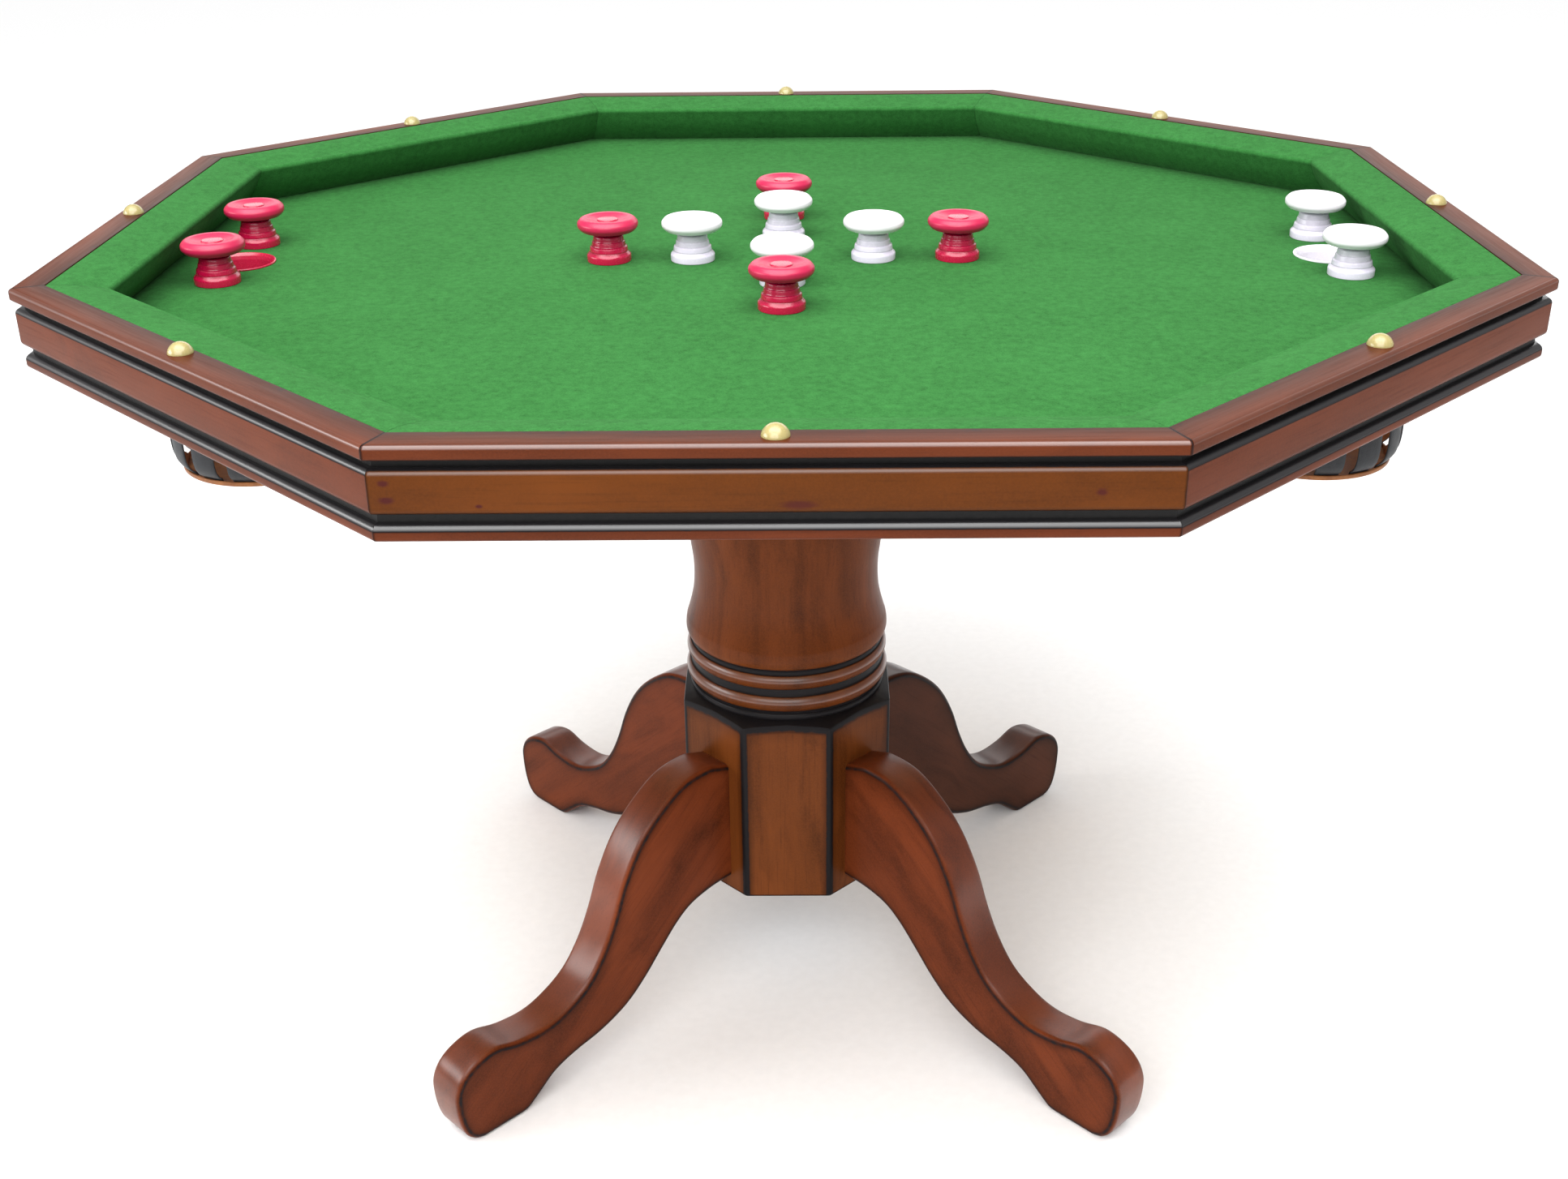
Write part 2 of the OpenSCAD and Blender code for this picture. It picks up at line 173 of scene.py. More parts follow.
def wood(name, tone, turn=(0, 0, 0), figure=1.0, contrast=1.0, band_gloss=0.06, knots=()):
    """Stained, lacquered wood, its grain along X after turn.

    The mesh's 'antique' value smokes and blackens it towards 1, and polishes the lacquer towards -1.
    """
    s = Shader(name, Coat_Roughness=0.3, Coat_IOR=1.75, IOR=1.4, Specular_IOR_Level=0.06)
    random = s.node("ObjectInfo", out="Random")
    shift = s.node("CombineXYZ", {0: s.math("MULTIPLY", random, 7.3), 1: s.math("MULTIPLY", random, 3.1)})
    base = s.node("VectorMath", {0: s.place(turn=turn), 1: shift}, operation="ADD")
    bend = s.noise(base, 4.0, 2.0)
    streak = s.node("Mapping", {"Vector": base, "Scale": (2.0, 30, 30)})
    drift = s.node("CombineXYZ", {1: s.math("MULTIPLY", bend, 6 * figure)})
    streak = s.node("VectorMath", {0: streak, 1: drift}, operation="ADD")
    bands = s.noise(streak, 1.0, 6.0, 0.6, 0.4)
    fine = s.noise(s.node("Mapping", {"Vector": base, "Scale": (16, 480, 480)}), 1.0, 3.0, 0.6)
    patch = s.noise(base, 7.0, 3.0, 0.5)
    grit = s.noise(s.place(), 700.0, 2.0, 0.6)
    deep = tuple(c * (1 - 0.38 * contrast) for c in tone)
    pale = tuple(c * (1 + 0.24 * contrast) for c in tone)
    colour = s.ramp(bands, [(0.28, deep), (0.5, tone), (0.74, pale)])
    colour = s.mix(s.range(patch, 0.35, 0.7, 0.0, 0.6), colour, deep)
    colour = s.mix(s.range(fine, 0.55, 0.74, 0.0, 0.4), colour, tuple(c * 0.6 for c in deep))
    colour = s.mix(s.range(grit, 0.35, 0.65, 0.0, 0.3), colour, pale)
    for centre, size, depth in knots:
        away = s.node("VectorMath", {0: s.node("TexCoord", out="Object"), 1: centre}, operation="SUBTRACT")
        away = s.node("VectorMath", {0: away, 1: tuple(1 / v for v in size)}, operation="MULTIPLY")
        away = s.node("VectorMath", {0: away}, out="Value", operation="LENGTH")
        away = s.math("ADD", away, s.range(fine, 0.3, 0.7, -0.25, 0.25))
        colour = s.mix(s.range(away, 0.5, 1.15, depth, 0.0), colour, (0.045, 0.006, 0.008))
    antique_and_shade = s.node("Attribute", out="Fac", attribute_name="antique_and_shade")
    colour = s.mix(s.range(antique_and_shade, 0.0, 0.3, 0.0, 0.8), colour, tuple(c * 0.22 for c in tone))
    wear = s.noise(s.place(), 150.0, 4.0, 0.6)
    mask = s.math("ADD", antique_and_shade, s.range(wear, 0.3, 0.7, -0.2, 0.2))
    mask = s.range(mask, 0.3, 0.66)
    s.set("Base Color", s.mix(mask, colour, (0.009, 0.008, 0.009)))
    polish = s.range(antique_and_shade, -1.0, 0.0, 1.0, 0.05)
    s.set("Coat Weight", s.math("MAXIMUM", polish, s.range(antique_and_shade, 0.86, 1.0, 0.0, band_gloss)))
    s.set("Roughness", s.range(fine, 0.3, 0.7, 0.3, 0.4))
    s.bump(s.math("ADD", fine, s.math("MULTIPLY", bands, 0.6)), 0.06, 0.0003)
    return s.material


def black_lacquer():
    """The black finish of the grooves and the basket collars."""
    s = Shader("black_lacquer", Coat_Weight=0.05, Coat_Roughness=0.3, Specular_IOR_Level=0.2)
    fine = s.noise(s.place(), 240.0, 3.0)
    s.set("Base Color", s.ramp(fine, [(0.3, (0.004, 0.004, 0.004)), (0.75, (0.012, 0.011, 0.011))]))
    s.set("Roughness", s.range(fine, 0.3, 0.7, 0.5, 0.65))
    s.bump(fine, 0.08, 0.0003)
    return s.material


def raw_wood(name, turn, ply=False):
    """Unstained timber or plywood, which only shows from below."""
    s = Shader(name, Roughness=0.7)
    base = s.place(turn=turn)
    bands = s.noise(s.node("Mapping", {"Vector": base, "Scale": (1.6, 26, 26)}), 1.0, 6.0, 0.6, 0.6)
    fine = s.noise(s.node("Mapping", {"Vector": base, "Scale": (18, 500, 500)}), 1.0, 3.0, 0.6)
    colour = s.ramp(bands, [(0.3, (0.36, 0.22, 0.11)), (0.5, (0.52, 0.35, 0.19)), (0.75, (0.64, 0.47, 0.28))])
    colour = s.mix(s.range(fine, 0.5, 0.75, 0.0, 0.5), colour, (0.25, 0.14, 0.06))
    if ply:
        knot = s.node("TexVoronoi", {"Vector": s.node("Mapping", {"Vector": base, "Scale": (2.5, 6, 1)}),
                                     "Scale": 1.0}, out="Distance")
        colour = s.mix(s.range(knot, 0.03, 0.1, 0.7, 0.0), colour, (0.16, 0.07, 0.03))
    s.set("Base Color", colour)
    s.set("Roughness", s.range(fine, 0.3, 0.7, 0.6, 0.85))
    s.bump(s.math("ADD", fine, bands), 0.25, 0.0004)
    return s.material


def felt(name, tone):
    """Napped wool cloth: short fibres, a fine mottle and a faint sheen."""
    s = Shader(name, Roughness=0.95, Sheen_Weight=0.04, Sheen_Roughness=0.5,
               Sheen_Tint=(0.6, 0.9, 0.55, 1), Specular_IOR_Level=0.03)
    nap = s.noise(s.place(), 800.0, 4.0, 0.7)
    fibre = s.noise(s.place((520, 1500, 900), (0, 0, 25)), 1.0, 3.0, 0.6)
    mottle = s.noise(s.place(), 150.0, 5.0, 0.7)
    cloud = s.noise(s.place(), 9.0, 6.0, 0.7)
    deep, pale = tuple(c * 0.55 for c in tone), tuple(c * 1.42 + 0.004 for c in tone)
    blend = s.math("ADD", s.math("MULTIPLY", nap, 0.45), s.math("MULTIPLY", mottle, 0.4))
    blend = s.math("ADD", blend, s.math("MULTIPLY", cloud, 0.15))
    colour = s.ramp(blend, [(0.34, deep), (0.5, tone), (0.68, pale)])
    colour = s.mix(s.range(fibre, 0.62, 0.8, 0.0, 0.35), colour, tuple(c * 1.5 + 0.01 for c in tone))
    dark = s.node("Attribute", out="Fac", attribute_name="antique_and_shade")
    s.set("Base Color", s.mix(s.math("MULTIPLY", dark, 0.8), colour, tuple(c * 0.2 for c in tone)))
    s.bump(s.math("ADD", nap, s.math("MULTIPLY", fibre, 0.6)), 0.35, 0.0006)
    return s.material


def moulded(name, tone, rough=0.22, coat=0.35, sub=0.0, dark=(0.02, 0.01, 0.01)):
    """Turned or moulded plastic and rubber with a faint mould texture, and painted shade in grooves, under
    the rings and round the dots' feet.
    """
    s = Shader(name, Coat_Weight=coat, Coat_Roughness=0.12, Subsurface_Weight=sub,
               Subsurface_Radius=(0.004, 0.003, 0.002), Subsurface_Scale=1.0)
    fine = s.noise(s.place(), 420.0, 3.0)
    cloud = s.noise(s.place(), 26.0, 2.0)
    deep, pale = tuple(c * 0.93 for c in tone), tuple(min(1, c * 1.05) for c in tone)
    colour = s.mix(s.range(cloud, 0.3, 0.7), deep, pale)
    # Painted shade: the mesh value darkens the colour towards the dark tone in grooves, under rings and at
    # contact lines
    mask = s.node("Attribute", out="Fac", attribute_name="antique_and_shade")
    s.set("Base Color", s.mix(mask, colour, dark))
    s.set("Roughness", s.range(fine, 0.3, 0.7, rough, rough + 0.1))
    s.bump(fine, 0.05, 0.0003)
    return s.material


def leather(name, deep, pale, rough):
    """Leather between two tones, with a fine grain."""
    s = Shader(name, Coat_Weight=0.03, Coat_Roughness=0.3, Specular_IOR_Level=0.25)
    cells = s.node("TexVoronoi", {"Vector": s.place(), "Scale": 620.0}, out="Distance")
    crease = s.noise(s.place(), 90.0, 5.0, 0.6)
    colour = s.ramp(crease, [(0.3, deep), (0.7, pale)])
    colour = s.mix(s.range(cells, 0.0, 0.3, 0.4, 0.0), colour, tuple(c * 0.5 for c in deep))
    s.set("Base Color", colour)
    s.set("Roughness", s.range(crease, 0.3, 0.7, rough, rough + 0.15))
    s.bump(s.math("ADD", cells, s.math("MULTIPLY", crease, 0.8)), 0.3, 0.0004)
    return s.material


def steel():
    """Zinc-plated steel for the fastenings."""
    s = Shader("zinc_steel", Metallic=1.0)
    fine = s.noise(s.place(), 300.0, 4.0)
    s.set("Base Color", s.ramp(fine, [(0.3, (0.42, 0.42, 0.44)), (0.7, (0.62, 0.62, 0.62))]))
    s.set("Roughness", s.range(fine, 0.3, 0.7, 0.28, 0.45))
    s.bump(fine, 0.06, 0.0002)
    return s.material


# ---------------------------------------------------------------- mesh helpers
def rounded(corners, steps=5):
    """The (a, b, dark) points of a profile from (a, b, radius, dark) corners, each with its own radius."""
    made = []
    count = len(corners)
    for i, (a, b, radius, dark) in enumerate(corners):
        here = Vector((a, b))
        before = Vector(corners[i - 1][:2]) - here
        after = Vector(corners[(i + 1) % count][:2]) - here
        if radius <= 0 or before.length < 1e-9 or after.length < 1e-9:
            made.append((a, b, dark))
            continue
        half = before.angle(after) / 2
        reach = min(radius / math.tan(half), before.length * 0.49, after.length * 0.49)
        start, end = here + before.normalized() * reach, here + after.normalized() * reach
        centre = here + (before.normalized() + after.normalized()).normalized() * (reach / math.cos(half))
        for step in range(steps + 1):
            t = step / steps
            point = start.lerp(end, t) - centre
            point = centre + point.normalized() * (start - centre).length
            made.append((point.x, point.y, dark[step] if isinstance(dark, tuple) else dark))
    return made


def skin(name, rows, joined=False, ends=True, sharp=35):
    """A mesh through rows of (x, y, z, dark) points, each row a ring."""
    count = len(rows[0])
    verts = [p[:3] for row in rows for p in row]
    faces = []
    last = len(rows) if joined else len(rows) - 1
    for i in range(last):
        j = (i + 1) % len(rows)
        for k in range(count):
            n = (k + 1) % count
            faces.append((i * count + k, i * count + n, j * count + n, j * count + k))
    if ends and not joined:
        faces.append(tuple(reversed(range(count))))
        faces.append(tuple(range((len(rows) - 1) * count, len(rows) * count)))
    mesh = bpy.data.meshes.new(name)
    mesh.from_pydata(verts, [], faces)
    shade = mesh.attributes.new("antique_and_shade", "FLOAT", "POINT")
    shade.data.foreach_set("value", [p[3] for row in rows for p in row])
    return finish_mesh(mesh, sharp)


def finish_mesh(mesh, sharp=35):
    """Cleans a mesh and shades it smooth, except at edges sharper than the angle in degrees."""
    import bmesh
    bm = bmesh.new()
    bm.from_mesh(mesh)
    bmesh.ops.remove_doubles(bm, verts=bm.verts, dist=1e-6)
    bmesh.ops.recalc_face_normals(bm, faces=bm.faces)
    bm.to_mesh(mesh)
    bm.free()
    mesh.polygons.foreach_set("use_smooth", [True] * len(mesh.polygons))
    mesh.set_sharp_from_angle(angle=math.radians(sharp))
    mesh.update()
    return mesh


def piece(name, mesh, material, nodes=(), matrix=None):
    """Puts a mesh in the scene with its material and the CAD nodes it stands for."""
    obj = bpy.data.objects.new(name, mesh)
    bpy.context.scene.collection.objects.link(obj)
    if matrix is not None:
        obj.matrix_world = matrix
    for m in material if isinstance(material, (list, tuple)) else [material]:
        obj.data.materials.append(m)
    if nodes:
        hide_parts(*nodes)
    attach(obj, "root")
    return obj


def lathe_rows(profile, count, centre=(0, 0, 0)):
    """The rings of points of a turned form, from its (radius, height, dark) profile."""
    rows = []
    for r, z, dark in profile:
        rows.append([(centre[0] + r * math.cos(2 * math.pi * k / count),
                      centre[1] + r * math.sin(2 * math.pi * k / count), centre[2] + z, dark)
                     for k in range(count)])
    return rows


def lathe(name, profile, count=96, centre=(0, 0, 0), sharp=30, closed=True):
    """A turned mesh from its (radius, height, dark) profile."""
    return skin(name, lathe_rows(profile, count, centre), joined=closed, ends=False, sharp=sharp)


def join_meshes(name, meshes, sharp=30):
    """One mesh from several, keeping the antique and painted shade values."""
    verts, faces, dark, slots = [], [], [], []
    for mesh in meshes:
        start = len(verts)
        verts += [tuple(v.co) for v in mesh.vertices]
        faces += [tuple(start + i for i in p.vertices) for p in mesh.polygons]
        slots += [p.material_index for p in mesh.polygons]
        dark += [d.value for d in mesh.attributes["antique_and_shade"].data]
        bpy.data.meshes.remove(mesh)
    whole = bpy.data.meshes.new(name)
    whole.from_pydata(verts, [], faces)
    shade = whole.attributes.new("antique_and_shade", "FLOAT", "POINT")
    shade.data.foreach_set("value", dark)
    whole.polygons.foreach_set("material_index", slots)
    whole.polygons.foreach_set("use_smooth", [True] * len(faces))
    whole.set_sharp_from_angle(angle=math.radians(sharp))
    return whole


def smooth_curve(points, steps=6):
    """A smooth line through the points."""
    made = []
    last = len(points) - 1
    for i in range(last):
        a, b = Vector(points[max(i - 1, 0)]), Vector(points[i])
        c, d = Vector(points[i + 1]), Vector(points[min(i + 2, last)])
        for j in range(steps):
            t = j / steps
            made.append(0.5 * (2 * b + (c - a) * t + (2 * a - 5 * b + 4 * c - d) * t * t
                               + (3 * b - a - 3 * c + d) * t * t * t))
    made.append(Vector(points[last]))
    return made


def side_matrix(k):
    """A side's own frame: X along the side, Y outwards, Z up."""
    return Matrix.Rotation(math.radians(45 * k - 180), 4, "Z")


def bar(name, profile, gap=0.1 * MM, end_dark=0.0, cuts=(0.0, 0.5, 1.4, 3.0), mid=10):
    """A mitred bar from a closed profile of (out, z, dark), with a dark line at its mitres."""
    rows = []
    stations = [c * MM for c in cuts]
    for s in stations:
        rows.append((-1, s, end_dark if s < 0.8 * MM else 0.0))
    for i in range(1, mid):
        rows.append((None, i / mid, 0.0))
    for s in reversed(stations):
        rows.append((1, s, end_dark if s < 0.8 * MM else 0.0))
    made = []
    for where, amount, dark in rows:
        ring = []
        for out, z, d in profile:
            half = out * TAN - gap / math.cos(math.radians(22.5))
            if where is None:
                x = (2 * amount - 1) * (half - stations[-1])
            else:
                x = where * (half - amount)
            ring.append((x, out, z, max(d, dark) if dark else d))
        made.append(ring)
    return skin(name, made, sharp=30)


# ---------------------------------------------------------------- rail
def build_rail(m):
    """Bullnosed caps, eased aprons and the bead, each side's piece mitred at its ends."""
    r, t = RAIL_OUT, RAIL_TOP
    cap = rounded([
        (RAIL_IN, CAP_Z0, 0, 0.8), (RAIL_IN, t, 0.5 * MM, 0.3), (r - 6.2 * MM, t, 0, 0.0),
        (r, t, 6 * MM, (0.0, -0.8, -1.0, -1.0, -0.8, 0.0)),
        (r, CAP_Z0, 2.2 * MM, (0.0, 0.0, 0.2, 0.6, 0.9, 1.0))], 5)
    aprons = []
    for edge in ((1.0, 1.0, 0.8, -0.4, -1.0, 0.0), (1.0, 1.0, 1.0, 1.0, 0.9, 0.0)):
        aprons.append(rounded([
            (APRON_IN, CLOTH_TOP, 0, 1.0), (APRON_IN, APRON_TOP, 0, 1.0),
            (APRON_OUT, APRON_TOP, 4.2 * MM, edge),
            (APRON_OUT, CLOTH_TOP, 4.5 * MM, (0.0, 0.0, 0.1, 0.5, 0.85, 0.85))], 5))
    bead = rounded([
        (RAIL_IN, BED_Z0, 0, 0.0), (RAIL_IN, BEAD_TOP, 0, 1.0),
        (BEAD_OUT, BEAD_TOP, 5 * MM, (1.0, 1.0, 1.0, 1.0, 0.93, 0.1)), (BEAD_OUT, BED_Z0, 3 * MM, 0.0)], 5)
    for k, side in enumerate(SIDES):
        at = side_matrix(k)
        piece("cap_" + side, bar("cap_" + side, cap, end_dark=0.5), m["rail"],
              ["rail_cap_" + side], at)
        board, wood_material = (aprons[0], m["apron_front"]) if side == "front" else (aprons[1], m["rail"])
        piece("apron_" + side, bar("apron_" + side, board, end_dark=0.25), wood_material,
              ["apron_board_" + side], at)
        piece("bead_" + side, bar("bead_" + side, bead, end_dark=0.3), m["rail"],
              ["lower_bead"], at)


def build_cushions(m):
    """Rubber cushions under cloth: flat top, blunt rounded nose, face drawn in to the bed."""
    top, back, nose = RAIL_TOP - 0.5 * MM, RAIL_IN - 0.05 * MM, CUSHION_IN
    upper = smooth_curve([(back, top - 0.6 * MM), (back - 1.2 * MM, top), (back - 6 * MM, top - 0.1 * MM),
                          (back - 14 * MM, top - 0.9 * MM), (back - 26 * MM, top - 3.2 * MM),
                          (nose + 8 * MM, NOSE_Z + 4.6 * MM)], 4)
    tip = [Vector((nose + 3.3 * MM + 3.3 * MM * math.cos(math.radians(a)),
                   NOSE_Z + 3.3 * MM * math.sin(math.radians(a)))) for a in range(75, 216, 14)]
    face = smooth_curve([(nose + 3 * MM, NOSE_Z - 7 * MM), (nose + 8.5 * MM, NOSE_Z - 17 * MM),
                         (nose + 17 * MM, NOSE_Z - 27.5 * MM), (nose + 25 * MM, CLOTH_TOP + 0.2 * MM)], 4)
    line = [(p.x, p.y, 0.0) for p in upper + tip + face]
    line[0] = (*line[0][:2], 0.9)
    profile = line + [(CORE_IN, CLOTH_TOP, 1.0), (CORE_IN, CAP_Z0, 1.0), (back, CAP_Z0, 1.0)]
    for k, side in enumerate(SIDES):
        mesh = bar("cushion_cover_" + side, profile, gap=0.12 * MM, end_dark=0.1, mid=14)
        obj = piece("cushion_cover_" + side, mesh, m["cushion"], ["cushion_" + side], side_matrix(k))


def octagon_ring(apothem, per_side, z):
    """Points round an octagon with flats on the axes."""
    points = []
    for k in range(8):
        a = math.radians(45 * k)
        out, along = Vector((math.cos(a), math.sin(a))), Vector((-math.sin(a), math.cos(a)))
        for i in range(per_side):
            p = out * apothem + along * apothem * TAN * (2 * i / per_side - 1)
            points.append((p.x, p.y, z))
    return points


def build_cloth(m):
    """The bed cloth: one stretched sheet with a hole cut for each cup."""
    import bmesh
    bm = bmesh.new()
    outer = [bm.verts.new(p) for p in octagon_ring(RAIL_IN - CLOTH_GAP, 12, CLOTH_TOP)]
    loops = [outer]
    for x in (-CUP_X, CUP_X):
        ring = [bm.verts.new((x + CLOTH_HOLE_R * math.cos(a), CLOTH_HOLE_R * math.sin(a), CLOTH_TOP))
                for a in [2 * math.pi * i / 64 for i in range(64)]]
        loops.append(ring)
    edges = [bm.edges.new((loop[i], loop[(i + 1) % len(loop)])) for loop in loops for i in range(len(loop))]
    bmesh.ops.triangle_fill(bm, use_beauty=True, edges=edges, normal=(0, 0, 1))
    for _ in range(3):
        bmesh.ops.subdivide_edges(bm, edges=[e for e in bm.edges if e.calc_length() > 0.03], cuts=1,
                                  use_grid_fill=True)
    bmesh.ops.triangulate(bm, faces=bm.faces)
    mesh = bpy.data.meshes.new("bed_felt")
    bm.to_mesh(mesh)
    bm.free()
    mesh.attributes.new("antique_and_shade", "FLOAT", "POINT")
    obj = piece("bed_felt", finish_mesh(mesh), m["felt"], ["bed_cloth"])


# ---------------------------------------------------------------- sight dots, bumpers and pockets
def build_dots(m):
    """The eight cream domes, one on the middle of each rail cap."""
    # Painted shade: each dome darkens at its foot where it meets the cap
    dome = [(0.0, 8.0, 0), (2.4, 7.65, 0), (4.7, 6.7, 0), (6.6, 5.2, 0), (8.0, 3.4, 0), (8.85, 1.6, 0),
            (9.15, 0.5, 0), (9.15, 0.02, 0.4), (2.45, 0.0, 1), (2.45, -6.4, 1), (0.0, -6.4, 1)]
    dome = [(r * MM, z * MM, d) for r, z, d in dome]
    parts = []
    for k in range(8):
        a = math.radians(45 * k)
        centre = (DOT_REACH * math.cos(a), DOT_REACH * math.sin(a), RAIL_TOP)
        parts.append(lathe("dot", dome, 40, centre, 50, False))
    domes = join_meshes("sight_dot_domes", parts, 50)
    piece("sight_dot_domes", domes, m["ivory"], ["sight_dots"])


def post_profile():
    """The stepped base and neck of a bumper post, with painted shade in the grooves between its steps and on
    the neck under the ring.
    """
    corners = [
        (0, 0, 0, 0), (20, 0, 0.8, 0), (20.1, 6.2, 2.6, 0), (17.6, 8.9, 0.4, 0.25), (17.3, 9.3, 0.2, 0.45),
        (17.4, 10.2, 0.5, 0), (16.9, 13.4, 1.1, 0), (15.6, 14.5, 0.3, 0.35), (15.4, 15.2, 0.4, 0.1),
        (14.9, 18.2, 1.0, 0), (14.2, 18.9, 0.3, 0.3), (14.0, 19.6, 0.4, 0), (13.5, 23.4, 1.4, 0),
        (10.0, 24.6, 0.5, 0.2), (9.5, 25.3, 0.3, 0.85), (9.5, 38.2, 1.0, 0.0), (0, 38.2, 0, 0)]
    return rounded([(r * MM, z * MM, f * MM, d) for r, z, f, d in corners], 4)


def ring_profile():
    """The thick rounded ring on top of a bumper, with painted shade on its underside and in the crease round
    the post's top.
    """
    corners = [
        (9.55, 28.8, 0, 0.7), (12.5, 27.35, 1.0, 0.2), (23.5, 27.3, 4.6, 0), (27.5, 31.6, 4.2, 0),
        (27.45, 35.6, 3.6, 0), (24.0, 39.4, 4.2, 0), (19.2, 39.5, 2.0, 0), (16.6, 38.7, 1.2, 0),
        (11.6, 37.5, 1.0, 0), (9.55, 37.3, 0.2, 0.35)]
    return rounded([(r * MM, z * MM, f * MM, d) for r, z, f, d in corners], 5)


def bumper_places():
    """(x, y, colour) for each bumper, from the CAD: a cross in the middle and a pair at each pocket."""
    outer = high("bumper_posts_red").x - POST_R
    inner = high("bumper_posts_white").y - POST_R
    pair_x = -(low("bumper_posts_red").x + POST_R)
    made = []
    for reach, tone in ((outer, "red"), (inner, "white")):
        made += [(reach, 0, tone), (-reach, 0, tone), (0, reach, tone), (0, -reach, tone)]
    for x, tone in ((-pair_x, "red"), (pair_x, "white")):
        made += [(x, PAIR_Y, tone), (x, -PAIR_Y, tone)]
    return made


def build_bumpers(m):
    """Twelve bumpers: a post and a ring each."""
    for tone in ("red", "white"):
        spots = [(x, y) for x, y, c in bumper_places() if c == tone]
        posts = [lathe("post", post_profile(), 64, (x, y, CLOTH_TOP), 40, False) for x, y in spots]
        rings = [lathe("ring", ring_profile(), 80, (x, y, CLOTH_TOP), 50, True) for x, y in spots]
        piece("posts_" + tone, join_meshes("posts_" + tone, posts, 40), m["post_" + tone],
              ["bumper_posts_" + tone])
        piece("rings_" + tone, join_meshes("rings_" + tone, rings, 50), m["ring_" + tone],
              ["bumper_rings_" + tone])


def build_cups(m):
    """The two pocket cups, left red and right white."""
    z0 = (CUP_Z0 - CLOTH_TOP) / MM
    corners = [(29.8, z0, 0.3, 0), (29.8, 0.05, 0, 0), (31.9, 0.05, 0.4, 0), (31.95, 1.7, 0.9, 0),
               (30.2, 1.75, 0.5, 0), (28.6, -0.8, 1.0, 0), (28.0, -4.0, 0.6, 0), (28.0, z0, 0.3, 0)]
    profile = rounded([(r * MM, z * MM, f * MM, d) for r, z, f, d in corners], 5)
    for side, x, tone in (("left", -CUP_X, "red"), ("right", CUP_X, "white")):
        piece("pocket_cup_" + side, lathe("cup", profile, 96, (x, 0, CLOTH_TOP), 40), m["cup_" + tone],
              ["cup_" + side])


def strap_line():
    """The strap's middle line as (distance from the basket's axis, height)."""
    r, z = STRAP_R, DISH_Z0
    top, end = r - 3.35 * MM, DISH_R - 3.6 * MM
    points = [(top, BED_Z0 - 0.6 * MM), (top, BED_Z0 - 12 * MM), (r - 1.4 * MM, BED_Z0 - 34 * MM),
              (r - 1.1 * MM, z + 90 * MM), (r - 1.1 * MM, z + 42 * MM), (r - 1.4 * MM, z + 25 * MM),
              (r - 3 * MM, z + 15.5 * MM), (r - 6.4 * MM, z + 9.6 * MM), (end + 1.8 * MM, z + 7 * MM),
              (end, z + 4.4 * MM), (end, z + 2.8 * MM)]
    return smooth_curve(points, 5)


def strap_mesh(x, angle, width):
    """One leather strap, black outside and tan inside, its edges eased."""
    line = strap_line()
    half = math.radians(width) / 2
    across = [-1.0, -0.97, -0.9, -0.5, 0.0, 0.5, 0.9, 0.97, 1.0]
    ease = [0.35, 0.75, 1.0, 1.0, 1.0, 1.0, 1.0, 0.75, 0.35]
    rows = []
    for i, p in enumerate(line):
        d = line[min(i + 1, len(line) - 1)] - line[max(i - 1, 0)]
        normal = Vector((-d.y, d.x)).normalized()
        if normal.x < 0:
            normal.negate()
        ring = []
        for sign, order in ((1, range(9)), (-1, range(8, -1, -1))):
            for j in order:
                q = p + normal * (sign * ease[j] * 1.08 * MM)
                a = angle + across[j] * half
                ring.append((x + q.x * math.cos(a), q.x * math.sin(a), q.y, 0.0))
        rows.append(ring)
    mesh = skin("strap", rows, sharp=60)
    outward = Vector((math.cos(angle), math.sin(angle), 0))
    for poly in mesh.polygons:
        poly.material_index = 0 if poly.normal.dot(outward) > -0.35 else 1
    return mesh


def build_baskets(m):
    """The hanging ball baskets: 14 straps and a dish each."""
    r = DISH_R / MM
    corners = [(0, 0, 0, 0), (r, 0, 1.6, 0), (r, 4.6, 0.9, 0.2), (r - 2.4, 4.6, 0.9, 0.6),
               (r - 2.4, 1.6, 1, 0.8), (0, 1.6, 0, 0)]
    dish = rounded([(r * MM, z * MM, f * MM, d) for r, z, f, d in corners], 5)
    for side, x in (("left", -CUP_X), ("right", CUP_X)):
        turns = [2 * math.pi * (i + 0.5) / STRAP_COUNT for i in range(STRAP_COUNT)]
        straps = [strap_mesh(x, turn, STRAP_TURN) for turn in turns]
        piece("straps_" + side, join_meshes("straps_" + side, straps, 50), [m["strap_out"], m["strap_in"]],
              ["basket_straps_" + side])
        piece("dish_" + side, lathe("dish", dish, 96, (x, 0, DISH_Z0), 40, False), m["dish"],
              ["basket_dish_" + side])


